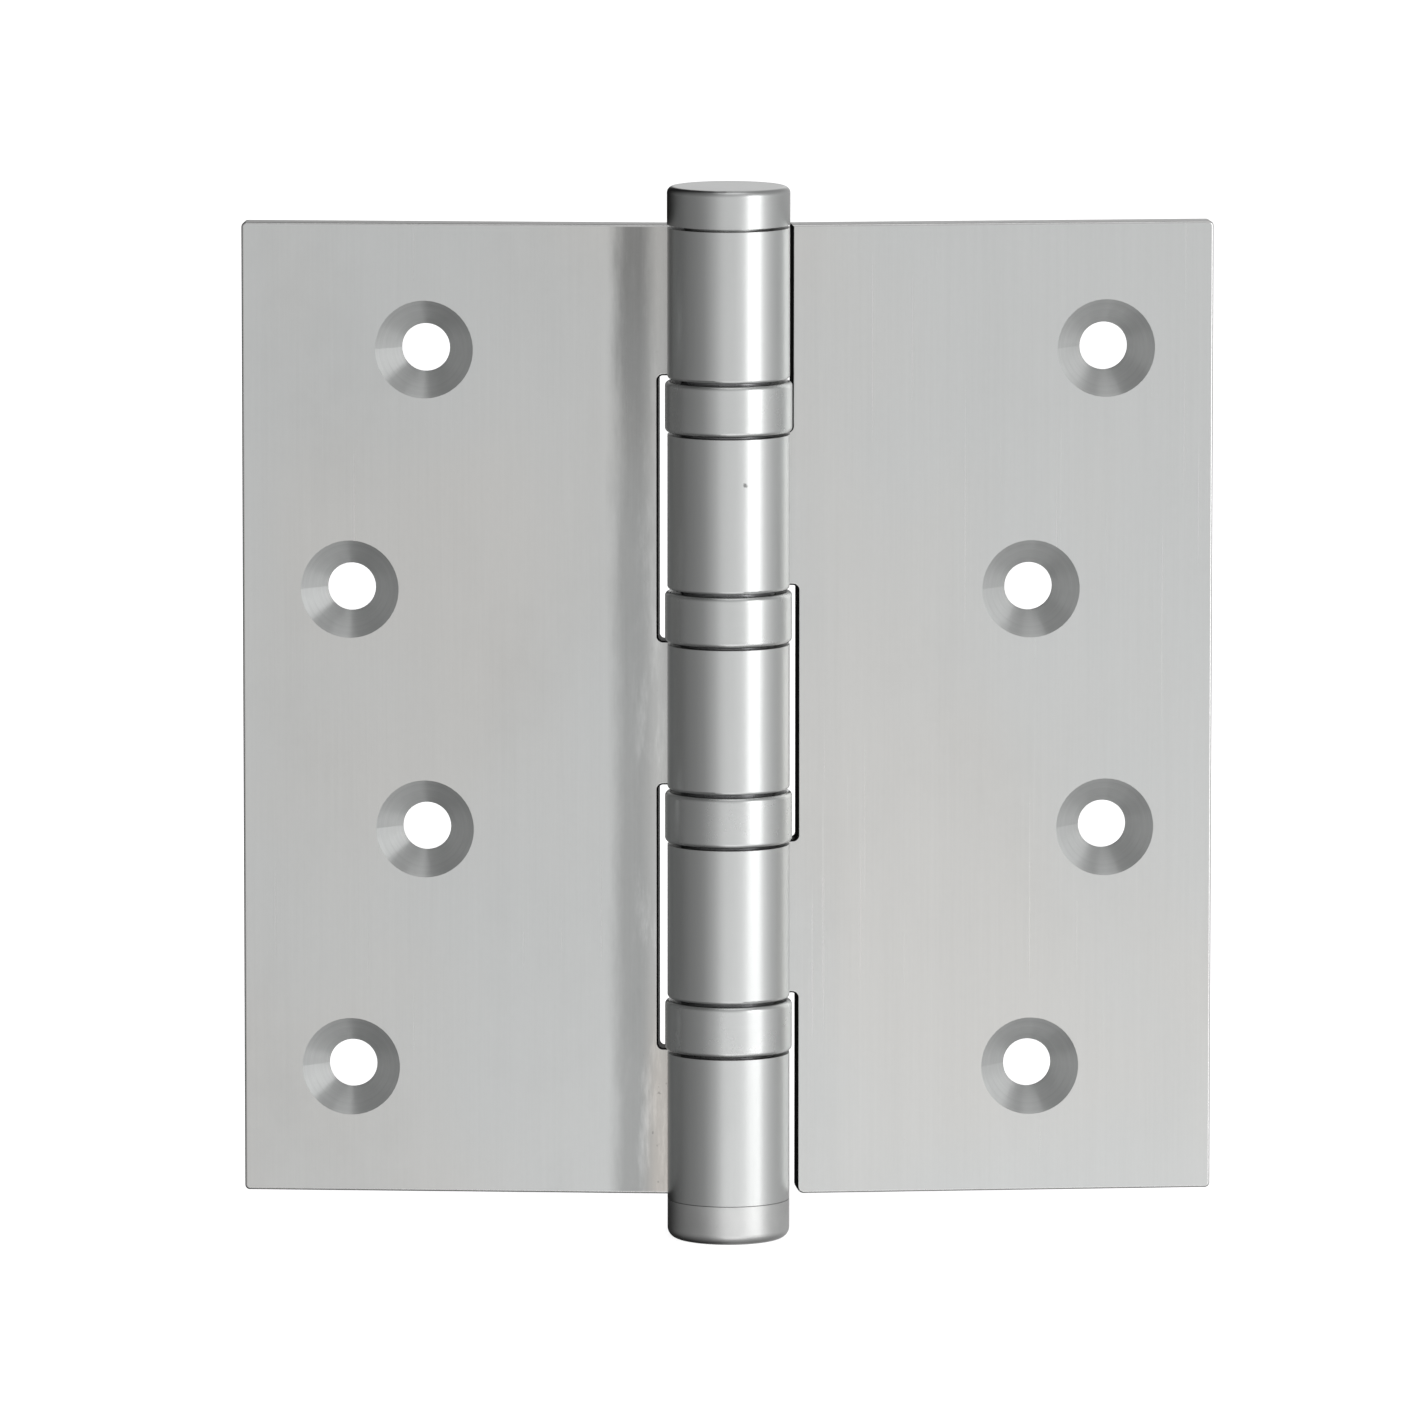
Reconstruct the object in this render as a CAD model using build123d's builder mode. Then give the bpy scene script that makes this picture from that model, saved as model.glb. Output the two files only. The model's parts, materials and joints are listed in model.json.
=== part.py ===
from build123d import *
import os

# Flat butt hinge, 4 in x 4 in, in 3 mm satin stainless plate, with four ball bearings.
# +Z runs up along the pin, the origin is on the pin at mid height, +X is to the right and
# the countersunk faces look toward -Y. The left leaf is the jamb's and the right the door's.

os.makedirs("parts", exist_ok=True)

# ---------------------------------------------------------------- leaves
LEAF_HEIGHT = 101.6
LEAF_REACH = 50.8          # pin axis to a leaf's free edge
PLATE = 3.0
LEAF_FACE = 1.95           # half the gap between the closed leaves
CORNER_R = 0.5             # free corners of a leaf
NOTCH_CORNER_R = 0.5       # inside corners of the knuckle notches
TOE_CORNER_R = 0.8         # where the last notch runs out through the leaf's bottom end
EDGE_R = 0.25              # front and back edges all round a leaf and its notches
DOOR_FOLD = 9.0            # the door leaf rests folded back by this many degrees

# ---------------------------------------------------------------- barrel
BARREL_R = 6.35
BORE_R = 3.30
KNUCKLE_EDGE_R = 0.35
PLUG_JOINT_R = 0.06        # the much finer edges where the bottom plug closes the barrel
SEAM = 0.12                # slit where the curl closes on its own plate
SEAM_DEPTH = 5.0
BEARING_SPACE = 5.8
# Height of each knuckle's top and bottom face above the origin, from the top down.
KNUCKLE_1 = (50.8, 35.1)
KNUCKLE_2 = (29.3, 13.2)
KNUCKLE_3 = (7.4, -7.7)
KNUCKLE_4 = (-13.5, -29.6)
KNUCKLE_5 = (-35.4, -50.8)
JAMB_KNUCKLES = (KNUCKLE_1, KNUCKLE_3, KNUCKLE_5)
DOOR_KNUCKLES = (KNUCKLE_2, KNUCKLE_4)
# Each notch is the height it spans and how far from the pin its wall stands.
JAMB_NOTCHES = ((35.1, 7.4, 7.45), (-7.7, -35.4, 7.45))
DOOR_NOTCHES = ((50.8, 29.3, 6.8), (13.2, -13.5, 7.4), (-29.6, -50.8, 7.35))
NOTCH_OVERRUN = 3.0

# ---------------------------------------------------------------- screw holes
HOLE_R = 2.5
COUNTERSINK_R = 5.1
COUNTERSINK_ANGLE = 90
COLUMN_INNER = 31.8
COLUMN_OUTER = 39.6
ROW_NEAR = 12.55
ROW_FAR = 37.65

# ---------------------------------------------------------------- pin
PIN_R = 3.25
GRIP_R = 3.29              # the band that grips the top knuckle
GRIP_TOP = 49.0
GRIP_BOTTOM = 39.0
FLUTE_R = 0.25
FLUTE_COUNT = 16
PIN_BOTTOM = -45.6
PIN_LEAD = 0.6             # lead-in chamfer at the pin's lower end
COLLAR_R = 4.6
COLLAR_HEIGHT = 0.32
HEAD_R = 6.4
HEAD_HEIGHT = 3.95
HEAD_EDGE_R = 0.7
HEAD_UNDER_R = 0.2
TIP_R = 6.35
TIP_HEIGHT = 4.1
TIP_EDGE_R = 1.1
TIP_SEAT_GAP = 0.01
SPIGOT_TOP = -46.0
SPIGOT_LEAD = 0.4

# ---------------------------------------------------------------- ball bearings
SHELL_R = 6.6
SHELL_INNER_R = 5.75
SHELL_HALF = 2.65
SHELL_LIP = 0.4
SHELL_LIP_R = 5.0
SHELL_EDGE_R = 0.5
RACE_BORE_R = 3.33
RACE_FACE = 0.5            # half the space between the two races
RACE_SHOULDER = 2.2
UPPER_FLANGE_R = 5.68
LOWER_FLANGE_R = 5.74
RACE_NECK_R = 4.92
PITCH_R = 4.55
GROOVE_R = 0.85
BALL_R = 0.794
BALL_COUNT = 10
CAGE_INNER_R = 3.42
CAGE_OUTER_R = 5.66
CAGE_THICKNESS = 0.8
POCKET_R = 0.84
BEARING_1 = (KNUCKLE_1[1] + KNUCKLE_2[0]) / 2
BEARING_2 = (KNUCKLE_2[1] + KNUCKLE_3[0]) / 2
BEARING_3 = (KNUCKLE_3[1] + KNUCKLE_4[0]) / 2
BEARING_4 = (KNUCKLE_4[1] + KNUCKLE_5[0]) / 2

FACING = Plane.XZ          # sketches on it use X across and Z up


def plate_section(side):
    """A leaf's plate seen along the pin, from the middle of the barrel to its free edge."""
    with BuildSketch(Plane.XY.offset(-LEAF_HEIGHT / 2)) as section:
        with Locations((side * LEAF_REACH / 2, LEAF_FACE + PLATE / 2)):
            Rectangle(LEAF_REACH, PLATE)
    return section.sketch


def leaf_outline(side, notches):
    """The leaf seen from the front: a rectangle with rounded free corners and cut notches."""
    with BuildSketch(FACING) as outline:
        with Locations((side * LEAF_REACH / 2, 0)):
            Rectangle(LEAF_REACH, LEAF_HEIGHT)
        free_edge = outline.vertices().group_by(Axis.X)[-1 if side > 0 else 0]
        fillet(free_edge, CORNER_R)
        for top, bottom, reach in notches:
            upper = top + NOTCH_OVERRUN if top >= LEAF_HEIGHT / 2 else top
            lower = bottom - NOTCH_OVERRUN if bottom <= -LEAF_HEIGHT / 2 else bottom
            with Locations((0, (upper + lower) / 2)):
                Rectangle(2 * reach, upper - lower, mode=Mode.SUBTRACT)
        walls = outline.vertices().filter_by(lambda v: BARREL_R < abs(v.X) < LEAF_REACH / 2)
        fillet(walls.filter_by(lambda v: abs(v.Y) < LEAF_HEIGHT / 2 - EDGE_R), NOTCH_CORNER_R)
        walls = outline.vertices().filter_by(lambda v: BARREL_R < abs(v.X) < LEAF_REACH / 2)
        toe = walls.filter_by(lambda v: v.Y < EDGE_R - LEAF_HEIGHT / 2)
        if toe:
            fillet(toe, TOE_CORNER_R)
    return outline.sketch


def knuckle_section(top, bottom):
    """Half section of one knuckle: the barrel wall with its outer ends rounded."""
    with BuildSketch(FACING) as section:
        with Locations(((BORE_R + BARREL_R) / 2, (top + bottom) / 2)):
            Rectangle(BARREL_R - BORE_R, top - bottom)
        outer = section.vertices().group_by(Axis.X)[-1].sort_by(Axis.Y)
        fillet(outer[0], PLUG_JOINT_R if bottom <= -LEAF_HEIGHT / 2 else KNUCKLE_EDGE_R)
        fillet(outer[-1], KNUCKLE_EDGE_R)
    return section.sketch


def shell_section(mid):
    """Half section of a bearing's shell: a sleeve with a lip turned in at each end."""
    with BuildSketch(FACING) as section:
        with Locations(((SHELL_LIP_R + SHELL_R) / 2, mid)):
            Rectangle(SHELL_R - SHELL_LIP_R, 2 * SHELL_HALF)
        fillet(section.vertices().group_by(Axis.X)[-1], SHELL_EDGE_R)
        with Locations(((SHELL_LIP_R + SHELL_INNER_R) / 2, mid)):
            Rectangle(
                SHELL_INNER_R - SHELL_LIP_R,
                2 * (SHELL_HALF - SHELL_LIP),
                mode=Mode.SUBTRACT,
            )
    return section.sketch


def race_section(mid, up, flange_r):
    """Half section of a race: flange with a ball groove, and a neck that meets the knuckle."""
    neck_end = BEARING_SPACE / 2
    with BuildSketch(FACING) as section:
        with Locations(((RACE_BORE_R + flange_r) / 2, mid + up * (RACE_FACE + RACE_SHOULDER) / 2)):
            Rectangle(flange_r - RACE_BORE_R, RACE_SHOULDER - RACE_FACE)
        with Locations(
            ((RACE_BORE_R + RACE_NECK_R) / 2, mid + up * (RACE_FACE + neck_end) / 2)
        ):
            Rectangle(RACE_NECK_R - RACE_BORE_R, neck_end - RACE_FACE)
        with Locations((PITCH_R, mid)):
            Circle(GROOVE_R, mode=Mode.SUBTRACT)
    return section.sketch


def screw_holes(side, columns):
    """Where a leaf's countersunk holes stand, as (X, Z) from the top row down."""
    rows = (ROW_FAR, ROW_NEAR, -ROW_NEAR, -ROW_FAR)
    return [(side * column, row) for column, row in zip(columns, rows)]


def outline_edges(leaf):
    """The front and back edges round the leaf and along its notches' walls."""
    beyond_barrel = leaf.edges().filter_by(lambda e: abs(e.center().X) > BARREL_R)
    return beyond_barrel.filter_by(Axis.Y, reverse=True)


# The leaves' front face while the two lie in line, looking out of it.
LEAF_FRONT = Plane(origin=(0, LEAF_FACE, 0), x_dir=(1, 0, 0), z_dir=(0, -1, 0))

# ---------------------------------------------------------------- jamb leaf
with BuildPart() as jamb_leaf:
    extrude(plate_section(-1), amount=LEAF_HEIGHT)
    extrude(
        leaf_outline(-1, JAMB_NOTCHES),
        amount=2 * BARREL_R,
        both=True,
        mode=Mode.INTERSECT,
    )
    fillet(outline_edges(jamb_leaf), EDGE_R)
    for knuckle_top, knuckle_bottom in JAMB_KNUCKLES:
        revolve(knuckle_section(knuckle_top, knuckle_bottom), axis=Axis.Z)
    with Locations((-BARREL_R + SEAM_DEPTH / 2, LEAF_FACE - SEAM / 2, 0)):
        Box(SEAM_DEPTH, SEAM, LEAF_HEIGHT, mode=Mode.SUBTRACT)
    Cylinder(BORE_R, LEAF_HEIGHT, mode=Mode.SUBTRACT)
    with Locations(LEAF_FRONT):
        with Locations(
            *screw_holes(-1, (COLUMN_INNER, COLUMN_OUTER, COLUMN_INNER, COLUMN_OUTER))
        ):
            CounterSinkHole(HOLE_R, COUNTERSINK_R, 2 * PLATE, COUNTERSINK_ANGLE)
jamb_leaf.part.label = "jamb_leaf"
export_step(jamb_leaf.part, "parts/jamb_leaf.step")

# ---------------------------------------------------------------- door leaf
with BuildPart() as straight_door_leaf:
    extrude(plate_section(1), amount=LEAF_HEIGHT)
    extrude(
        leaf_outline(1, DOOR_NOTCHES),
        amount=2 * BARREL_R,
        both=True,
        mode=Mode.INTERSECT,
    )
    fillet(outline_edges(straight_door_leaf), EDGE_R)
    for knuckle_top, knuckle_bottom in DOOR_KNUCKLES:
        revolve(knuckle_section(knuckle_top, knuckle_bottom), axis=Axis.Z)
    with Locations((BARREL_R - SEAM_DEPTH / 2, LEAF_FACE - SEAM / 2, 0)):
        Box(SEAM_DEPTH, SEAM, LEAF_HEIGHT, mode=Mode.SUBTRACT)
    Cylinder(BORE_R, LEAF_HEIGHT, mode=Mode.SUBTRACT)
    with Locations(LEAF_FRONT):
        with Locations(
            *screw_holes(1, (COLUMN_OUTER, COLUMN_INNER, COLUMN_OUTER, COLUMN_INNER))
        ):
            CounterSinkHole(HOLE_R, COUNTERSINK_R, 2 * PLATE, COUNTERSINK_ANGLE)

# The leaf is made in line with the jamb's and then swung back about the pin.
with BuildPart() as door_leaf:
    with Locations(Rotation(0, 0, DOOR_FOLD)):
        add(straight_door_leaf.part)
door_leaf.part.label = "door_leaf"
export_step(door_leaf.part, "parts/door_leaf.step")

# ---------------------------------------------------------------- pin and its bottom plug
with BuildPart() as hinge_pin:
    with BuildSketch(FACING):
        with Locations((PIN_R / 2, (LEAF_HEIGHT / 2 + PIN_BOTTOM) / 2)):
            Rectangle(PIN_R, LEAF_HEIGHT / 2 - PIN_BOTTOM)
        with Locations((GRIP_R / 2, (GRIP_TOP + GRIP_BOTTOM) / 2)):
            Rectangle(GRIP_R, GRIP_TOP - GRIP_BOTTOM)
        with Locations((COLLAR_R / 2, (LEAF_HEIGHT + COLLAR_HEIGHT) / 2)):
            Rectangle(COLLAR_R, COLLAR_HEIGHT)
    revolve(axis=Axis.Z)
    chamfer(hinge_pin.edges().sort_by(Axis.Z)[0], PIN_LEAD)
    with BuildSketch(FACING) as head:
        with Locations((HEAD_R / 2, LEAF_HEIGHT / 2 + COLLAR_HEIGHT + HEAD_HEIGHT / 2)):
            Rectangle(HEAD_R, HEAD_HEIGHT)
        rim = head.vertices().group_by(Axis.X)[-1].sort_by(Axis.Y)
        fillet(rim[-1], HEAD_EDGE_R)
        fillet(rim[0], HEAD_UNDER_R)
    revolve(axis=Axis.Z)
    # shallow flutes let the band bite into the top knuckle
    with Locations((0, 0, (GRIP_TOP + GRIP_BOTTOM) / 2)):
        with PolarLocations(GRIP_R + FLUTE_R / 2, FLUTE_COUNT):
            Cylinder(FLUTE_R, GRIP_TOP - GRIP_BOTTOM, mode=Mode.SUBTRACT)
hinge_pin.part.label = "hinge_pin"
export_step(hinge_pin.part, "parts/hinge_pin.step")

with BuildPart() as bottom_tip:
    with BuildSketch(FACING) as tip:
        with Locations((TIP_R / 2, -LEAF_HEIGHT / 2 - TIP_SEAT_GAP - TIP_HEIGHT / 2)):
            Rectangle(TIP_R, TIP_HEIGHT)
        rim = tip.vertices().group_by(Axis.X)[-1].sort_by(Axis.Y)
        fillet(rim[0], TIP_EDGE_R)
        fillet(rim[-1], PLUG_JOINT_R)
    revolve(axis=Axis.Z)
    with BuildSketch(FACING):
        with Locations((GRIP_R / 2, (SPIGOT_TOP - LEAF_HEIGHT / 2 - TIP_HEIGHT) / 2)):
            Rectangle(GRIP_R, SPIGOT_TOP + LEAF_HEIGHT / 2 + TIP_HEIGHT)
    revolve(axis=Axis.Z)
    chamfer(bottom_tip.edges().sort_by(Axis.Z)[-1], SPIGOT_LEAD)
bottom_tip.part.label = "bottom_tip"
export_step(bottom_tip.part, "parts/bottom_tip.step")

# ---------------------------------------------------------------- ball bearings
with BuildPart() as bearing_1_shell:
    revolve(shell_section(BEARING_1), axis=Axis.Z)
bearing_1_shell.part.label = "bearing_1_shell"
export_step(bearing_1_shell.part, "parts/bearing_1_shell.step")

with BuildPart() as bearing_1_upper_race:
    revolve(race_section(BEARING_1, 1, UPPER_FLANGE_R), axis=Axis.Z)
bearing_1_upper_race.part.label = "bearing_1_upper_race"
export_step(bearing_1_upper_race.part, "parts/bearing_1_upper_race.step")

with BuildPart() as bearing_1_lower_race:
    revolve(race_section(BEARING_1, -1, LOWER_FLANGE_R), axis=Axis.Z)
bearing_1_lower_race.part.label = "bearing_1_lower_race"
export_step(bearing_1_lower_race.part, "parts/bearing_1_lower_race.step")

with BuildPart() as bearing_1_cage:
    with Locations((0, 0, BEARING_1)):
        Cylinder(CAGE_OUTER_R, CAGE_THICKNESS)
        Cylinder(CAGE_INNER_R, CAGE_THICKNESS, mode=Mode.SUBTRACT)
        with PolarLocations(PITCH_R, BALL_COUNT):
            Cylinder(POCKET_R, CAGE_THICKNESS, mode=Mode.SUBTRACT)
bearing_1_cage.part.label = "bearing_1_cage"
export_step(bearing_1_cage.part, "parts/bearing_1_cage.step")

with BuildPart() as bearing_1_balls:
    with Locations((0, 0, BEARING_1)):
        with PolarLocations(PITCH_R, BALL_COUNT):
            Sphere(BALL_R)
bearing_1_balls.part.label = "bearing_1_balls"
export_step(bearing_1_balls.part, "parts/bearing_1_balls.step")

with BuildPart() as bearing_2_shell:
    revolve(shell_section(BEARING_2), axis=Axis.Z)
bearing_2_shell.part.label = "bearing_2_shell"
export_step(bearing_2_shell.part, "parts/bearing_2_shell.step")

with BuildPart() as bearing_2_upper_race:
    revolve(race_section(BEARING_2, 1, UPPER_FLANGE_R), axis=Axis.Z)
bearing_2_upper_race.part.label = "bearing_2_upper_race"
export_step(bearing_2_upper_race.part, "parts/bearing_2_upper_race.step")

with BuildPart() as bearing_2_lower_race:
    revolve(race_section(BEARING_2, -1, LOWER_FLANGE_R), axis=Axis.Z)
bearing_2_lower_race.part.label = "bearing_2_lower_race"
export_step(bearing_2_lower_race.part, "parts/bearing_2_lower_race.step")

with BuildPart() as bearing_2_cage:
    with Locations((0, 0, BEARING_2)):
        Cylinder(CAGE_OUTER_R, CAGE_THICKNESS)
        Cylinder(CAGE_INNER_R, CAGE_THICKNESS, mode=Mode.SUBTRACT)
        with PolarLocations(PITCH_R, BALL_COUNT):
            Cylinder(POCKET_R, CAGE_THICKNESS, mode=Mode.SUBTRACT)
bearing_2_cage.part.label = "bearing_2_cage"
export_step(bearing_2_cage.part, "parts/bearing_2_cage.step")

with BuildPart() as bearing_2_balls:
    with Locations((0, 0, BEARING_2)):
        with PolarLocations(PITCH_R, BALL_COUNT):
            Sphere(BALL_R)
bearing_2_balls.part.label = "bearing_2_balls"
export_step(bearing_2_balls.part, "parts/bearing_2_balls.step")

with BuildPart() as bearing_3_shell:
    revolve(shell_section(BEARING_3), axis=Axis.Z)
bearing_3_shell.part.label = "bearing_3_shell"
export_step(bearing_3_shell.part, "parts/bearing_3_shell.step")

with BuildPart() as bearing_3_upper_race:
    revolve(race_section(BEARING_3, 1, UPPER_FLANGE_R), axis=Axis.Z)
bearing_3_upper_race.part.label = "bearing_3_upper_race"
export_step(bearing_3_upper_race.part, "parts/bearing_3_upper_race.step")

with BuildPart() as bearing_3_lower_race:
    revolve(race_section(BEARING_3, -1, LOWER_FLANGE_R), axis=Axis.Z)
bearing_3_lower_race.part.label = "bearing_3_lower_race"
export_step(bearing_3_lower_race.part, "parts/bearing_3_lower_race.step")

with BuildPart() as bearing_3_cage:
    with Locations((0, 0, BEARING_3)):
        Cylinder(CAGE_OUTER_R, CAGE_THICKNESS)
        Cylinder(CAGE_INNER_R, CAGE_THICKNESS, mode=Mode.SUBTRACT)
        with PolarLocations(PITCH_R, BALL_COUNT):
            Cylinder(POCKET_R, CAGE_THICKNESS, mode=Mode.SUBTRACT)
bearing_3_cage.part.label = "bearing_3_cage"
export_step(bearing_3_cage.part, "parts/bearing_3_cage.step")

with BuildPart() as bearing_3_balls:
    with Locations((0, 0, BEARING_3)):
        with PolarLocations(PITCH_R, BALL_COUNT):
            Sphere(BALL_R)
bearing_3_balls.part.label = "bearing_3_balls"
export_step(bearing_3_balls.part, "parts/bearing_3_balls.step")

with BuildPart() as bearing_4_shell:
    revolve(shell_section(BEARING_4), axis=Axis.Z)
bearing_4_shell.part.label = "bearing_4_shell"
export_step(bearing_4_shell.part, "parts/bearing_4_shell.step")

with BuildPart() as bearing_4_upper_race:
    revolve(race_section(BEARING_4, 1, UPPER_FLANGE_R), axis=Axis.Z)
bearing_4_upper_race.part.label = "bearing_4_upper_race"
export_step(bearing_4_upper_race.part, "parts/bearing_4_upper_race.step")

with BuildPart() as bearing_4_lower_race:
    revolve(race_section(BEARING_4, -1, LOWER_FLANGE_R), axis=Axis.Z)
bearing_4_lower_race.part.label = "bearing_4_lower_race"
export_step(bearing_4_lower_race.part, "parts/bearing_4_lower_race.step")

with BuildPart() as bearing_4_cage:
    with Locations((0, 0, BEARING_4)):
        Cylinder(CAGE_OUTER_R, CAGE_THICKNESS)
        Cylinder(CAGE_INNER_R, CAGE_THICKNESS, mode=Mode.SUBTRACT)
        with PolarLocations(PITCH_R, BALL_COUNT):
            Cylinder(POCKET_R, CAGE_THICKNESS, mode=Mode.SUBTRACT)
bearing_4_cage.part.label = "bearing_4_cage"
export_step(bearing_4_cage.part, "parts/bearing_4_cage.step")

with BuildPart() as bearing_4_balls:
    with Locations((0, 0, BEARING_4)):
        with PolarLocations(PITCH_R, BALL_COUNT):
            Sphere(BALL_R)
bearing_4_balls.part.label = "bearing_4_balls"
export_step(bearing_4_balls.part, "parts/bearing_4_balls.step")
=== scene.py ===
import json
import math

import bpy
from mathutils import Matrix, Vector


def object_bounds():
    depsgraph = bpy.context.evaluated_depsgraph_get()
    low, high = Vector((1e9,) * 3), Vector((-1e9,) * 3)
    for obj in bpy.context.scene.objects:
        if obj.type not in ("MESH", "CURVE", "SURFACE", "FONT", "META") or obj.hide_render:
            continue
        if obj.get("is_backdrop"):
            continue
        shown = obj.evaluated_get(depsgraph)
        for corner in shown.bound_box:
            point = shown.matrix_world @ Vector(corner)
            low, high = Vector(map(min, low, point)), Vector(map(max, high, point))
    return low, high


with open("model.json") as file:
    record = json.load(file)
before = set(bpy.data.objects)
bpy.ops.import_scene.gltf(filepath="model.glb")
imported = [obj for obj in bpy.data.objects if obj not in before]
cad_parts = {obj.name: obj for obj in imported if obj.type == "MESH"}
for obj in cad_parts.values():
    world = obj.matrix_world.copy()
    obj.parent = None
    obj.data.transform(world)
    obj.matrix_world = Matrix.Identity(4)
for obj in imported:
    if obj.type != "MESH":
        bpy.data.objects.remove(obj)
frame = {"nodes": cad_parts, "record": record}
nodes = frame["nodes"]
record = frame["record"]
cad_low, cad_high = (list(corner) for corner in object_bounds())
mounts = {m["name"]: m for m in record["mounts"]}

# ------------------------------------------------------------------ camera
# The studio view: a long lens, a little above and a little to the right of the hinge's front.
AZIMUTH, ELEVATION, DISTANCE = math.radians(3.71), math.radians(7.38), 1.485
FIELD = 0.14680            # width of the view at the hinge's distance
AIM = Vector((-0.00224, 0.0, 0.00076))

back = Vector((
    math.sin(AZIMUTH) * math.cos(ELEVATION),
    -math.cos(AZIMUTH) * math.cos(ELEVATION),
    math.sin(ELEVATION),
))
camera_data = bpy.data.cameras.new("camera")
camera_data.sensor_width = 36.0
camera_data.lens = 36.0 * DISTANCE / FIELD
camera_data.clip_start, camera_data.clip_end = 0.05, 60.0
camera = bpy.data.objects.new("camera", camera_data)
camera.location = AIM + back * DISTANCE
camera.rotation_mode = "QUATERNION"
camera.rotation_quaternion = (-back).to_track_quat("-Z", "Y")
bpy.context.scene.collection.objects.link(camera)
bpy.context.scene.camera = camera


# ------------------------------------------------------------------ node helpers
class Tree:
    """A material's node tree, with short ways to add and join nodes."""

    def __init__(self, name):
        self.material = bpy.data.materials.new(name)
        self.material.use_nodes = True
        self.nodes = self.material.node_tree.nodes
        self.links = self.material.node_tree.links
        self.nodes.clear()
        self.output = self.nodes.new("ShaderNodeOutputMaterial")
        self.coords = self.nodes.new("ShaderNodeTexCoord").outputs["Object"]

    def put(self, socket, value):
        if isinstance(value, bpy.types.NodeSocket):
            self.links.new(value, socket)
        else:
            socket.default_value = value

    def math(self, operation, *values):
        node = self.nodes.new("ShaderNodeMath")
        node.operation = operation
        for socket, value in zip(node.inputs, values):
            self.put(socket, value)
        return node.outputs[0]

    def vector(self, operation, *values):
        node = self.nodes.new("ShaderNodeVectorMath")
        node.operation = operation
        for socket, value in zip(node.inputs, values):
            self.put(socket, value)
        return node.outputs["Value"] if operation in ("LENGTH", "DOT_PRODUCT") else node.outputs[0]

    def split(self, value):
        node = self.nodes.new("ShaderNodeSeparateXYZ")
        self.put(node.inputs[0], value)
        return node.outputs[0], node.outputs[1], node.outputs[2]

    def join(self, x, y, z):
        node = self.nodes.new("ShaderNodeCombineXYZ")
        for socket, value in zip(node.inputs, (x, y, z)):
            self.put(socket, value)
        return node.outputs[0]

    def noise(self, scale, detail=2.0, rough=0.5, coords=None, shift=(0.0, 0.0, 0.0)):
        """Noise from 0 to 1 with a scale in features a metre along each axis."""
        mapping = self.nodes.new("ShaderNodeMapping")
        mapping.inputs["Location"].default_value = shift
        mapping.inputs["Scale"].default_value = scale
        self.links.new(coords or self.coords, mapping.inputs["Vector"])
        node = self.nodes.new("ShaderNodeTexNoise")
        node.inputs["Scale"].default_value = 1.0
        node.inputs["Detail"].default_value = detail
        node.inputs["Roughness"].default_value = rough
        self.links.new(mapping.outputs[0], node.inputs["Vector"])
        return node.outputs["Fac"]

    def band(self, value, low, high, start=0.0, end=1.0):
        """value mapped smoothly from low..high to start..end, and held beyond them."""
        node = self.nodes.new("ShaderNodeMapRange")
        node.interpolation_type = "SMOOTHSTEP"
        self.put(node.inputs["Value"], value)
        node.inputs["From Min"].default_value = low
        node.inputs["From Max"].default_value = high
        node.inputs["To Min"].default_value = start
        node.inputs["To Max"].default_value = end
        return node.outputs[0]

    def mix(self, factor, first, second):
        node = self.nodes.new("ShaderNodeMix")
        node.data_type = "RGBA"
        self.put(node.inputs[0], factor)
        self.put(node.inputs[6], first)
        self.put(node.inputs[7], second)
        return node.outputs[2]

    def tint(self, color, amount):
        """color multiplied by amount, which is 1 for no change."""
        node = self.nodes.new("ShaderNodeMix")
        node.data_type = "RGBA"
        node.blend_type = "MULTIPLY"
        node.inputs[0].default_value = 1.0
        self.put(node.inputs[6], color)
        self.put(node.inputs[7], self.join(amount, amount, amount))
        return node.outputs[2]

    def bump(self, height, strength, distance):
        node = self.nodes.new("ShaderNodeBump")
        node.inputs["Strength"].default_value = strength
        node.inputs["Distance"].default_value = distance
        self.put(node.inputs["Height"], height)
        return node.outputs[0]

    def total(self, *values):
        result = values[0]
        for value in values[1:]:
            result = self.math("ADD", result, value)
        return result

    def product(self, *values):
        result = values[0]
        for value in values[1:]:
            result = self.math("MULTIPLY", result, value)
        return result

    def spread(self, value, amount):
        """A noise's distance from its middle, times amount."""
        return self.math("MULTIPLY", self.math("SUBTRACT", value, 0.5), amount)

    def metal(self, color, roughness, normal=None, anisotropic=0.0, tangent=None, rotation=0.0):
        shader = self.nodes.new("ShaderNodeBsdfPrincipled")
        shader.inputs["Metallic"].default_value = 1.0
        self.put(shader.inputs["Base Color"], color)
        self.put(shader.inputs["Roughness"], roughness)
        if normal is not None:
            self.put(shader.inputs["Normal"], normal)
        shader.inputs["Anisotropic"].default_value = anisotropic
        shader.inputs["Anisotropic Rotation"].default_value = rotation
        if tangent is not None:
            self.put(shader.inputs["Tangent"], tangent)
        self.links.new(shader.outputs[0], self.output.inputs["Surface"])
        return self.material


STEEL = (0.592, 0.602, 0.598, 1.0)
STEEL_WARM = (0.62, 0.585, 0.545, 1.0)


def smudges(t):
    """Handling marks: wide soft clouds, broken up by finer ones."""
    wide = t.noise((55.0, 55.0, 38.0), detail=3.0, rough=0.55, shift=(3.1, 0.7, 1.9))
    fine = t.noise((340.0, 340.0, 260.0), detail=4.0, rough=0.6, shift=(9.3, 2.2, 5.0))
    return t.product(t.band(wide, 0.42, 0.68), t.band(fine, 0.3, 0.7, 0.4, 1.0))


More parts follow.
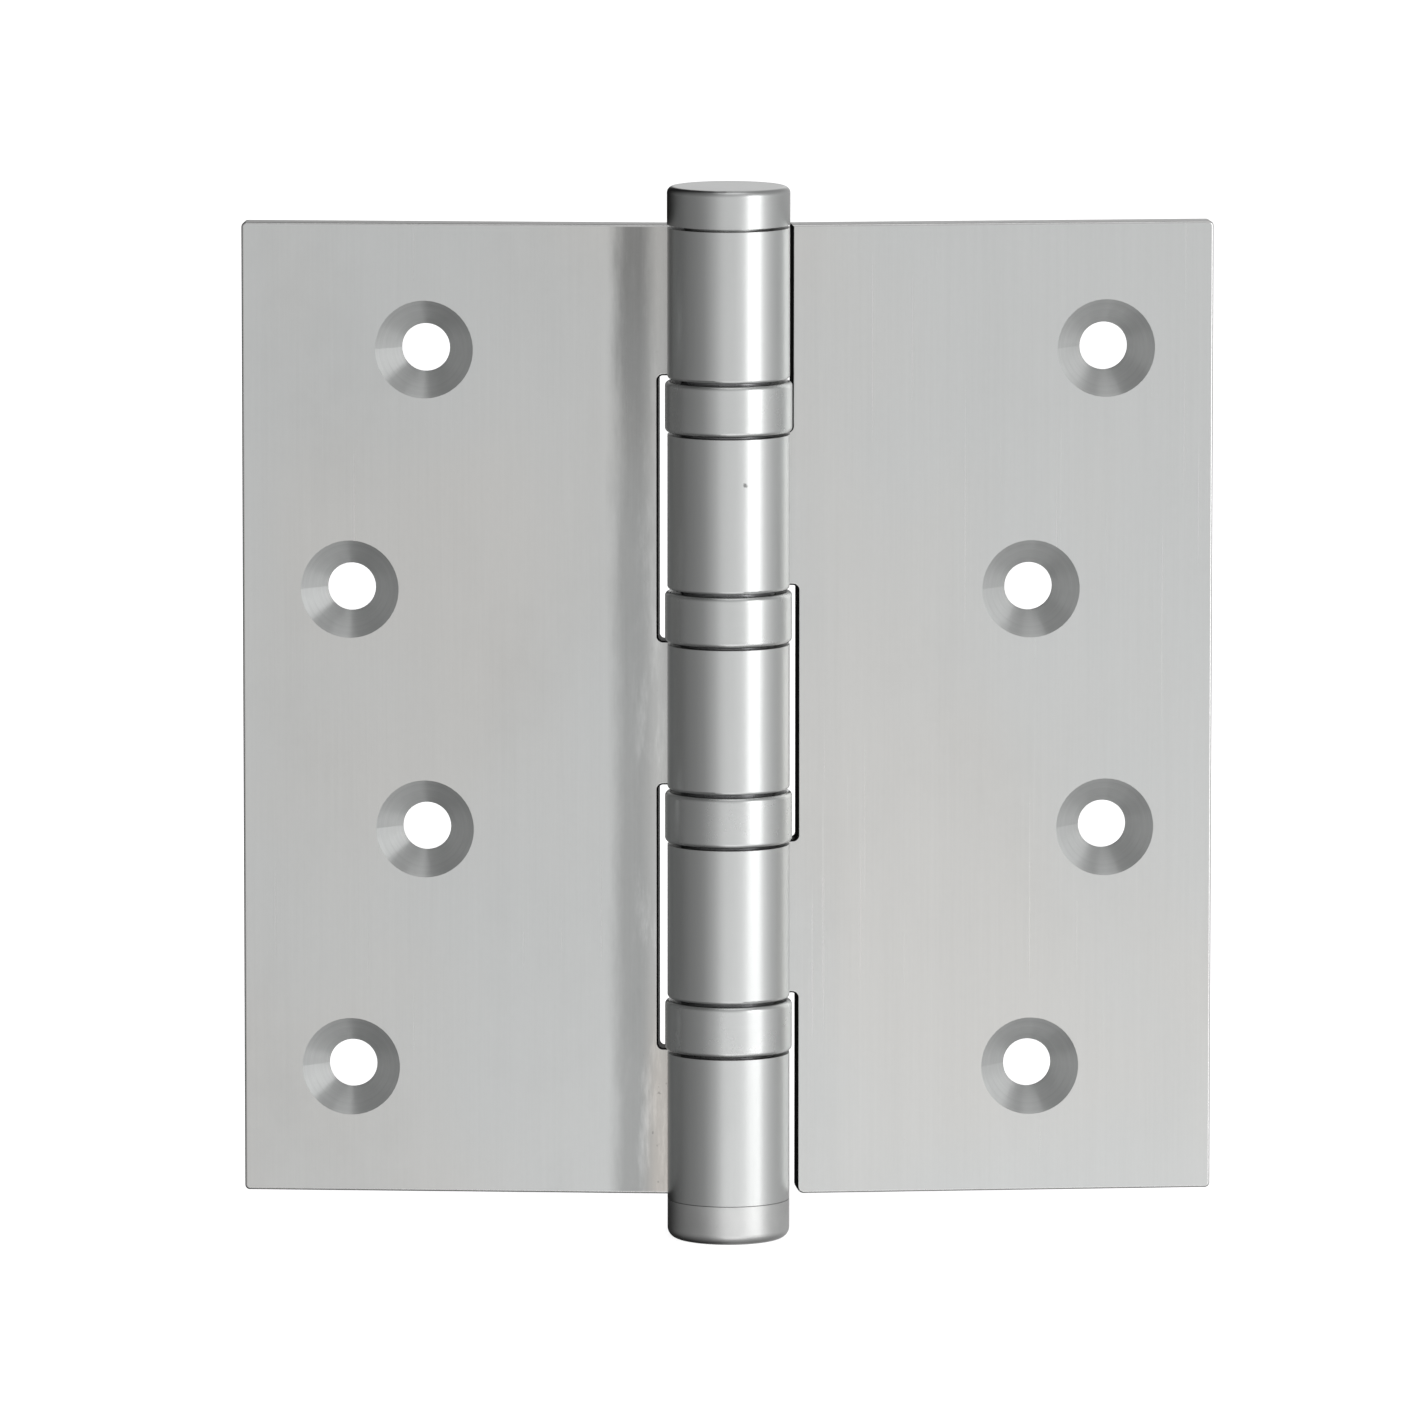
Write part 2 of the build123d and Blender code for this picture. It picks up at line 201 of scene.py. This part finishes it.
def satin_steel(name, side):
    """The leaves' finish: belt-polished along the pin, so that the grain runs up and down.

    side is how strongly the marks and the painted shade beside the barrel show, from 0 to 1.
    """
    t = Tree(name)
    x, y, z = t.split(t.coords)
    hair = t.noise((5200.0, 5200.0, 70.0), detail=3.0, rough=0.65)
    grain = t.noise((1500.0, 1500.0, 26.0), detail=4.0, rough=0.6, shift=(4.0, 1.0, 8.0))
    bands = t.noise((230.0, 230.0, 7.0), detail=2.0, rough=0.5, shift=(1.7, 6.0, 2.0))
    mottle = t.noise((1900.0, 1900.0, 1500.0), detail=3.0, rough=0.7, shift=(7.0, 3.0, 1.0))
    cloud = t.noise((30.0, 30.0, 22.0), detail=2.0, rough=0.5, shift=(5.0, 5.0, 0.3))
    smudge = smudges(t)
    # a few long hairline scratches
    hairline = t.noise((6100.0, 6100.0, 24.0), detail=1.0, rough=0.4, shift=(2.0, 8.0, 4.0))
    scratch = t.band(hairline, 0.735, 0.78)
    # streaks on the front face beside the barrel, warm toward the lower end
    away = t.math("ABSOLUTE", x)
    beside = t.band(away, 0.0080, 0.0112, 1.0, 0.0)
    patchy = t.noise((620.0, 620.0, 110.0), detail=5.0, rough=0.65, shift=(0.4, 2.0, 6.1))
    low = t.band(z, -0.052, 0.04, 1.0, 0.5)
    streaks = t.band(patchy, 0.4, 0.66, 0.25, 1.0)
    front = t.band(y, 0.0026, 0.0038, side, 0.0)
    ground = t.product(beside, low, streaks, front)
    warm = t.product(
        t.band(away, 0.0074, 0.0095, 1.0, 0.0),
        t.band(z, -0.040, -0.024, 1.0, 0.15),
        front,
    )
    speck = t.noise((2300.0, 2300.0, 1500.0), detail=1.0, rough=0.4, shift=(3.3, 1.0, 7.0))
    speck = t.math("MULTIPLY", t.band(speck, 0.72, 0.8), warm)
    # painted shade: the darker band on the front face beside the barrel, in the finish only, darker
    # toward the top
    painted_shade_band = t.math("ADD", away, t.spread(patchy, 0.0018))
    painted_shade_band = t.product(
        t.band(painted_shade_band, 0.0072, 0.0094, 0.3, 1.0),
        t.band(painted_shade_band, 0.0106, 0.0130, 1.0, 0.0),
        front,
        t.band(z, 0.012, 0.050, 0.33, 0.57),
    )
    amount = t.total(
        1.0,
        t.spread(hair, 0.05),
        t.spread(grain, 0.05),
        t.spread(bands, 0.045),
        t.spread(mottle, 0.035),
        t.spread(cloud, 0.05),
        t.math("MULTIPLY", smudge, -0.02),
        t.math("MULTIPLY", scratch, 0.05),
        t.math("MULTIPLY", ground, t.spread(patchy, 1.7)),
        t.math("MULTIPLY", speck, -0.3),
        # the painted shade beside the barrel
        t.math("MULTIPLY", painted_shade_band, -1.0),
    )
    cast = t.total(t.math("MULTIPLY", warm, 0.8), t.band(cloud, 0.38, 0.66, 0.0, 0.28))
    color = t.mix(cast, STEEL, STEEL_WARM)
    color = t.tint(color, amount)
    roughness = t.total(
        0.30,
        t.spread(grain, 0.05),
        t.spread(cloud, 0.04),
        t.math("MULTIPLY", smudge, 0.035),
        t.math("MULTIPLY", ground, 0.05),
        t.math("MULTIPLY", scratch, -0.05),
    )
    height = t.total(
        t.math("MULTIPLY", hair, 0.5),
        grain,
        t.math("MULTIPLY", mottle, 0.35),
        t.math("MULTIPLY", scratch, -0.6),
        t.math("MULTIPLY", ground, t.spread(patchy, 1.5)),
    )
    normal = t.bump(height, 0.22, 0.00002)
    return t.metal(color, roughness, normal, 0.55, (0.0, 0.0, 1.0), 0.25)


def rolled_steel(name, pits=()):
    """The knuckles: the same plate polished along the barrel, smoother, with a few small pits."""
    t = Tree(name)
    hair = t.noise((4300.0, 4300.0, 90.0), detail=3.0, rough=0.65, shift=(1.0, 4.0, 2.0))
    grain = t.noise((900.0, 900.0, 22.0), detail=3.0, rough=0.6, shift=(6.0, 1.0, 3.0))
    cloud = t.noise((260.0, 260.0, 110.0), detail=3.0, rough=0.6, shift=(2.0, 5.0, 7.0))
    smudge = smudges(t)
    spot = None
    for place, radius in pits:
        away = t.vector("LENGTH", t.vector("SUBTRACT", t.coords, place))
        edge = t.math("ADD", away, t.spread(t.noise((5200.0,) * 3, detail=2.0), radius * 1.2))
        one = t.band(edge, radius * 0.4, radius, 1.0, 0.0)
        spot = one if spot is None else t.math("MAXIMUM", spot, one)
    amount = t.total(
        1.0,
        t.spread(hair, 0.045),
        t.spread(grain, 0.05),
        t.spread(cloud, 0.04),
        t.math("MULTIPLY", smudge, -0.02),
    )
    if spot is not None:
        amount = t.math("MULTIPLY", amount, t.math("SUBTRACT", 1.0, t.math("MULTIPLY", spot, 0.45)))
    color = t.tint(STEEL, amount)
    roughness = t.total(0.29, t.spread(grain, 0.03), t.math("MULTIPLY", smudge, 0.02))
    height = t.total(
        t.math("MULTIPLY", hair, 0.5),
        t.math("MULTIPLY", grain, 0.6),
        t.math("MULTIPLY", cloud, 0.3),
    )
    if spot is not None:
        height = t.math("SUBTRACT", height, t.math("MULTIPLY", spot, 3.0))
        roughness = t.math("ADD", roughness, t.math("MULTIPLY", spot, 0.3))
    normal = t.bump(height, 0.025, 0.00002)
    return t.metal(color, roughness, normal)


def turned_steel(name, base=STEEL, rough=0.27, rings=1.0, wear=1.0):
    """Lathe-turned and polished parts: fine rings round the pin, and rings on their end faces."""
    t = Tree(name)
    x, y, z = t.split(t.coords)
    radius = t.vector("LENGTH", t.join(x, y, 0.0))
    turned = t.join(t.math("MULTIPLY", radius, 0.3), t.math("MULTIPLY", x, 0.02), z)
    ring = t.noise((9000.0, 9000.0, 7000.0), detail=3.0, rough=0.6, coords=turned)
    wide = t.noise((1300.0, 1300.0, 1500.0), detail=2.0, rough=0.5, coords=turned)
    cloud = t.noise((240.0, 240.0, 240.0), detail=4.0, rough=0.6, shift=(1.0, 7.0, 3.0))
    nick = t.noise((1500.0, 1500.0, 1500.0), detail=3.0, rough=0.75, shift=(8.0, 2.0, 6.0))
    smudge = smudges(t)
    dent = t.band(nick, 0.66, 0.74)
    amount = t.total(
        1.0,
        t.spread(ring, 0.05 * rings),
        t.spread(wide, 0.05 * rings),
        t.spread(cloud, 0.06 * wear),
        t.math("MULTIPLY", smudge, -0.03 * wear),
        t.math("MULTIPLY", dent, -0.04 * wear),
    )
    color = t.tint(base, amount)
    roughness = t.total(rough, t.spread(cloud, 0.04), t.math("MULTIPLY", smudge, 0.03))
    height = t.total(
        t.math("MULTIPLY", ring, 0.2 * rings),
        t.math("MULTIPLY", wide, 0.5 * rings),
    )
    normal = t.bump(height, 0.015, 0.00002)
    return t.metal(color, roughness, normal)


def countersink_steel(name, centre, axis):
    """A countersink's cone: rings cut round the hole, and a streak that turns with the light."""
    t = Tree(name)
    out = t.vector("SUBTRACT", t.coords, tuple(centre))
    along = t.vector("DOT_PRODUCT", out, tuple(axis))
    flat = t.vector("SUBTRACT", out, t.vector("MULTIPLY", t.join(along, along, along), tuple(axis)))
    radius = t.vector("LENGTH", flat)
    _, _, z = t.split(flat)
    rings = t.join(radius, t.math("MULTIPLY", z, 0.03), 0.0)
    fine = t.noise((11000.0, 11000.0, 1.0), detail=3.0, rough=0.7, coords=rings)
    coarse = t.noise(
        (3600.0, 3600.0, 1.0), detail=2.0, rough=0.6, coords=rings, shift=(5.0, 1.0, 0.0)
    )
    patchy = t.noise((700.0, 700.0, 700.0), detail=3.0, rough=0.6)
    amount = t.total(0.96, t.spread(fine, 0.22), t.spread(coarse, 0.16), t.spread(patchy, 0.08))
    color = t.tint(STEEL, amount)
    roughness = t.total(0.36, t.spread(fine, 0.1), t.spread(patchy, 0.06))
    normal = t.bump(t.total(fine, coarse), 0.15, 0.00003)
    tangent = t.vector("NORMALIZE", t.vector("CROSS_PRODUCT", tuple(axis), flat))
    return t.metal(color, roughness, normal, 1.0, tangent, 0.25)


def cut_steel(name, base=(0.46, 0.46, 0.455, 1.0), rough=0.36):
    """Sheared edges and bores: dull, with the marks of the cut across the plate."""
    t = Tree(name)
    tear = t.noise((2600.0, 300.0, 2600.0), detail=4.0, rough=0.65)
    cloud = t.noise((500.0, 500.0, 500.0), detail=3.0, rough=0.6, shift=(4.0, 2.0, 9.0))
    amount = t.total(1.0, t.spread(tear, 0.22), t.spread(cloud, 0.12))
    color = t.tint(base, amount)
    roughness = t.total(rough, t.spread(tear, 0.14), t.spread(cloud, 0.08))
    normal = t.bump(t.total(tear, t.math("MULTIPLY", cloud, 0.4)), 0.35, 0.00003)
    return t.metal(color, roughness, normal)


def worn_edge(name):
    """The narrow broken edges, rubbed brighter than the faces they join."""
    t = Tree(name)
    rub = t.noise((900.0, 900.0, 420.0), detail=3.0, rough=0.6)
    nick = t.noise((2600.0, 2600.0, 2600.0), detail=2.0, rough=0.6, shift=(3.0, 3.0, 3.0))
    color = t.tint((0.66, 0.66, 0.655, 1.0), t.total(1.0, t.spread(rub, 0.2)))
    roughness = t.total(0.24, t.spread(rub, 0.12), t.spread(nick, 0.08))
    normal = t.bump(t.total(rub, nick), 0.2, 0.00002)
    return t.metal(color, roughness, normal)


def polished_steel(name, base, rough):
    """Ground bearing parts: fine lapping rings under a thin film of grease."""
    t = Tree(name)
    x, y, z = t.split(t.coords)
    radius = t.vector("LENGTH", t.join(x, y, 0.0))
    lap = t.noise((12000.0, 1.0, 9000.0), detail=2.0, rough=0.6, coords=t.join(radius, 0.0, z))
    film = t.noise((600.0, 600.0, 600.0), detail=3.0, rough=0.55)
    color = t.tint(base, t.total(1.0, t.spread(lap, 0.08), t.spread(film, 0.12)))
    roughness = t.total(rough, t.spread(film, 0.08), t.spread(lap, 0.04))
    return t.metal(color, roughness, t.bump(t.total(lap, film), 0.15, 0.00001))


# ------------------------------------------------------------------ which face gets which finish
# The finishes in the order of a leaf's material slots. Its countersinks follow them.
SATIN, KNUCKLE, CUT, EDGE, BORE, NOTCH_PAINTED_SHADE, FIRST_SINK = range(7)
# How far from the pin's axis each part of a leaf reaches, in metres.
BORE_REACH = 0.0034
KNUCKLE_REACH = 0.0064
NOTCH_REACH = 0.0081       # across the leaf, to the notches' walls
EDGES_FROM = 0.0128        # across the leaf, where the plain plate starts
END_MARGIN = 0.0004        # how near a face is to the leaf's end to count as part of it
SINK_REACH = 0.0052        # from a screw hole's centre to its countersink's rim

swing = math.atan2(-mounts["door_back"]["axis"][0], mounts["door_back"]["axis"][1])


def straight(place, angle):
    """A point or direction turned back about the pin, to where the leaf lies in line."""
    c, s = math.cos(-angle), math.sin(-angle)
    return Vector((c * place[0] - s * place[1], s * place[0] + c * place[1], place[2]))


def hole_centres(names, angle):
    """Each screw hole's centre with the leaf in line, from the record's two-hole patterns."""
    found = []
    for name in names:
        mount = mounts[name]
        gap = (mount["dims"].get("spacing_y_mm") or mount["dims"]["pcd_mm"]) / 2000
        middle = straight(mount["pos_m"], angle)
        found += [middle + Vector((0.0, 0.0, gap)), middle - Vector((0.0, 0.0, gap))]
    return found


def dress_leaf(node, names, angle, side, pits):
    """Gives a leaf its finishes face by face. The vertices stay as they are."""
    mesh = nodes[node].data
    holes = hole_centres(names, angle)
    axis = straight((0.0, -1.0, 0.0), -angle)
    ends = max(vertex.co.z for vertex in mesh.vertices) - END_MARGIN
    finishes = [
        satin_steel(node + "_satin", side),
        rolled_steel(node + "_knuckle", pits),
        cut_steel(node + "_cut"),
        worn_edge(node + "_edge"),
        cut_steel(node + "_bore", (0.3, 0.3, 0.3, 1.0)),
        # the notch walls: a near-black cut finish, painted shade in the gaps beside the knuckles
        cut_steel(node + "_notch_painted_shade", (0.018, 0.018, 0.018, 1.0), 0.55),
    ]
    for number, hole in enumerate(holes, 1):
        finishes.append(countersink_steel(f"{node}_sink_{number}", straight(hole, -angle), axis))
    mesh.materials.clear()
    for finish in finishes:
        mesh.materials.append(finish)
    for face in mesh.polygons:
        centre = straight(face.center, angle)
        normal = straight(face.normal, angle)
        reach = math.hypot(centre.x, centre.y)
        between_ends = abs(centre.z) < ends
        on_corner = abs(centre.x) > EDGES_FROM and 0.05 < abs(normal.y) < 0.99
        pick = SATIN
        if reach < BORE_REACH:
            pick = BORE
        elif reach < KNUCKLE_REACH:
            pick = KNUCKLE if abs(normal.z) < 0.9 else CUT
        # the notches' walls take the near-black painted shade
        elif abs(centre.x) < NOTCH_REACH and between_ends and abs(normal.y) < 0.97:
            pick = NOTCH_PAINTED_SHADE
        elif abs(normal.z) > 0.9 or abs(normal.x) > 0.97:
            pick = CUT
        elif on_corner or abs(normal.z) > 0.1:
            pick = EDGE
        for number, hole in enumerate(holes):
            away = math.hypot(centre.x - hole.x, centre.z - hole.z)
            if away < SINK_REACH and abs(normal.y) < 0.95:
                pick = FIRST_SINK + number
        face.material_index = pick


dress_leaf(
    "jamb_leaf",
    ("jamb_screws_inner", "jamb_screws_outer"),
    0.0,
    1.0,
    (),
)
# A single small pit shows on the upper of the door leaf's two knuckles.
UPPER_KNUCKLE_PIT = ((0.0021, -0.006, 0.0246), 0.00032)
dress_leaf(
    "door_leaf",
    ("door_screws_inner", "door_screws_outer"),
    swing,
    0.12,
    (UPPER_KNUCKLE_PIT,),
)

shell_steel = turned_steel("shell_steel", rough=0.26, rings=0.8)
pin_steel = turned_steel("pin_steel", (0.575, 0.585, 0.581, 1.0), rough=0.28, rings=0.5)
tip_steel = turned_steel("tip_steel", (0.66, 0.665, 0.66, 1.0), rough=0.36, rings=0.5, wear=4.0)
race_steel = polished_steel("race_steel", (0.30, 0.30, 0.31, 1.0), 0.28)
ball_steel = polished_steel("ball_steel", (0.56, 0.56, 0.57, 1.0), 0.1)
cage_brass = polished_steel("cage_brass", (0.72, 0.52, 0.26, 1.0), 0.3)
FINISH = {
    "shell": shell_steel,
    "upper_race": race_steel,
    "lower_race": race_steel,
    "cage": cage_brass,
    "balls": ball_steel,
    "hinge_pin": pin_steel,
    "bottom_tip": tip_steel,
}
for name, piece in nodes.items():
    for ending, finish in FINISH.items():
        if name.endswith(ending):
            piece.data.materials.clear()
            piece.data.materials.append(finish)


# ------------------------------------------------------------------ studio
def stage_plane(name, centre, across, up, width, height, material):
    """A flat rectangle of the studio, given its centre and its two directions."""
    across, up = Vector(across) * width / 2, Vector(up) * height / 2
    centre = Vector(centre)
    corners = [
        centre - across - up,
        centre + across - up,
        centre + across + up,
        centre - across + up,
    ]
    mesh = bpy.data.meshes.new(name)
    mesh.from_pydata([tuple(corner) for corner in corners], [], [(0, 1, 2, 3)])
    mesh.materials.append(material)
    piece = bpy.data.objects.new(name, mesh)
    bpy.context.scene.collection.objects.link(piece)
    piece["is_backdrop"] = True
    return piece


def floor_finish():
    """Matte white paper, a little uneven."""
    t = Tree("floor_paper")
    cloud = t.noise((1.3, 1.3, 1.3), detail=2.0)
    grain = t.noise((900.0, 900.0, 900.0), detail=2.0)
    shader = t.nodes.new("ShaderNodeBsdfPrincipled")
    shade = t.total(0.93, t.spread(cloud, 0.01), t.spread(grain, 0.01))
    t.put(shader.inputs["Base Color"], t.join(shade, shade, shade))
    shader.inputs["Roughness"].default_value = 0.9
    shader.inputs["Specular IOR Level"].default_value = 0.1
    shader.inputs["Emission Color"].default_value = (1.0, 1.0, 1.0, 1.0)
    shader.inputs["Emission Strength"].default_value = 0.8
    t.links.new(shader.outputs[0], t.output.inputs["Surface"])
    return t.material


def card_finish(name, level, glow):
    """Studio cloth or paper of one grey, with a little weave."""
    t = Tree(name)
    weave = t.noise((700.0, 700.0, 700.0), detail=2.0)
    shader = t.nodes.new("ShaderNodeBsdfPrincipled")
    shade = t.total(level, t.spread(weave, 0.1 * level))
    t.put(shader.inputs["Base Color"], t.join(shade, shade, shade))
    shader.inputs["Roughness"].default_value = 0.95
    shader.inputs["Specular IOR Level"].default_value = 0.1
    shader.inputs["Emission Color"].default_value = (1.0, 1.0, 1.0, 1.0)
    shader.inputs["Emission Strength"].default_value = glow
    t.links.new(shader.outputs[0], t.output.inputs["Surface"])
    return t.material


def only_reflected(piece):
    """Studio gear that shows in the metal, as it does beside the camera, and nowhere else."""
    piece.visible_camera = False
    piece.visible_diffuse = False
    piece.visible_shadow = False
    piece.visible_transmission = False


def soft_box(name, place, target, width, height, power):
    """A rectangular area light aimed at target."""
    data = bpy.data.lights.new(name, "AREA")
    data.shape = "RECTANGLE"
    data.size, data.size_y = width, height
    data.energy = power
    lamp = bpy.data.objects.new(name, data)
    lamp.location = place
    lamp.rotation_mode = "QUATERNION"
    lamp.rotation_quaternion = (Vector(target) - Vector(place)).to_track_quat("-Z", "Y")
    lamp.visible_camera = False
    bpy.context.scene.collection.objects.link(lamp)
    return lamp


def around(degrees, distance, height):
    """A place round the hinge: 0 is in front of it and 90 to its right."""
    a = math.radians(degrees)
    return (math.sin(a) * distance, -math.cos(a) * distance, height)


floor_height = cad_low[2]
floor = stage_plane("floor", (0, 0, floor_height), (1, 0, 0), (0, 1, 0), 24.0, 24.0, floor_finish())
# The metal mirrors the room and not the floor, as it does when it hangs in front of the paper.
floor.visible_glossy = False
reflector_card = card_finish("reflector_card", 0.5, 0.95)
reflector = stage_plane(
    "reflector", (0.42, -0.5, -0.37), (1, 0, 0), (0, 0, 1), 1.0, 0.5, reflector_card
)
only_reflected(reflector)

soft_box("key", around(53, 1.1, 0.0), (0, 0, 0), 0.5, 1.4, 4.0)
soft_box("overhead", (0.1, -0.2, 1.8), (0, 0, 0), 1.0, 1.0, 2.0)

world = bpy.data.worlds.new("studio")
bpy.context.scene.world = world
world.use_nodes = True
tree = world.node_tree
tree.nodes.clear()


def ramp_of(value, low, high, stops):
    """A grey level read from stops, for a value that runs from low to high."""
    lift = tree.nodes.new("ShaderNodeMapRange")
    lift.inputs["From Min"].default_value = low
    lift.inputs["From Max"].default_value = high
    tree.links.new(value, lift.inputs["Value"])
    ramp = tree.nodes.new("ShaderNodeValToRGB")
    ramp.color_ramp.interpolation = "EASE"
    while len(ramp.color_ramp.elements) < len(stops):
        ramp.color_ramp.elements.new(0.5)
    for element, (where, level) in zip(ramp.color_ramp.elements, stops):
        element.position = (where - low) / (high - low)
        element.color = (level, level, level, 1.0)
    tree.links.new(lift.outputs[0], ramp.inputs[0])
    return ramp.outputs[0]


# The room's walls, as a bearing in degrees and a grey level, with 0 in front of the hinge and 90
# to its right: dark cloth to the left, pale screens in front, to the right and straight behind.
ROOM = (
    (-180, 1.0), (-166, 0.03), (-150, 0.0), (-128, 0.03),
    (-104, 0.15), (-72, 0.26), (-46, 0.33), (-26, 0.55),
    (-6, 0.88), (14, 0.88), (34, 1.0), (70, 1.0),
    (100, 0.62), (128, 0.54), (160, 0.5), (180, 1.0),
)
# The same from the floor at -1 to the ceiling at 1.
CEILING = ((-1.0, 0.4), (-0.6, 0.6), (-0.3, 1.0), (0.15, 1.0), (0.6, 0.7), (1.0, 0.6))
place = tree.nodes.new("ShaderNodeTexCoord")
parts = tree.nodes.new("ShaderNodeSeparateXYZ")
tree.links.new(place.outputs["Generated"], parts.inputs[0])
forward = tree.nodes.new("ShaderNodeMath")
forward.operation = "MULTIPLY"
forward.inputs[1].default_value = -1.0
tree.links.new(parts.outputs[1], forward.inputs[0])
bearing = tree.nodes.new("ShaderNodeMath")
bearing.operation = "ARCTAN2"
tree.links.new(parts.outputs[0], bearing.inputs[0])
tree.links.new(forward.outputs[0], bearing.inputs[1])
walls = ramp_of(bearing.outputs[0], -math.pi, math.pi, [(math.radians(d), v) for d, v in ROOM])
heights = ramp_of(parts.outputs[2], -1.0, 1.0, CEILING)
both = tree.nodes.new("ShaderNodeMix")
both.data_type = "RGBA"
both.blend_type = "MULTIPLY"
both.inputs[0].default_value = 1.0
tree.links.new(walls, both.inputs[6])
tree.links.new(heights, both.inputs[7])
shade = tree.nodes.new("ShaderNodeBackground")
tree.links.new(both.outputs[2], shade.inputs["Color"])
out = tree.nodes.new("ShaderNodeOutputWorld")
tree.links.new(shade.outputs[0], out.inputs["Surface"])

bpy.context.scene.view_settings.view_transform = "Standard"
bpy.context.scene.view_settings.look = "None"
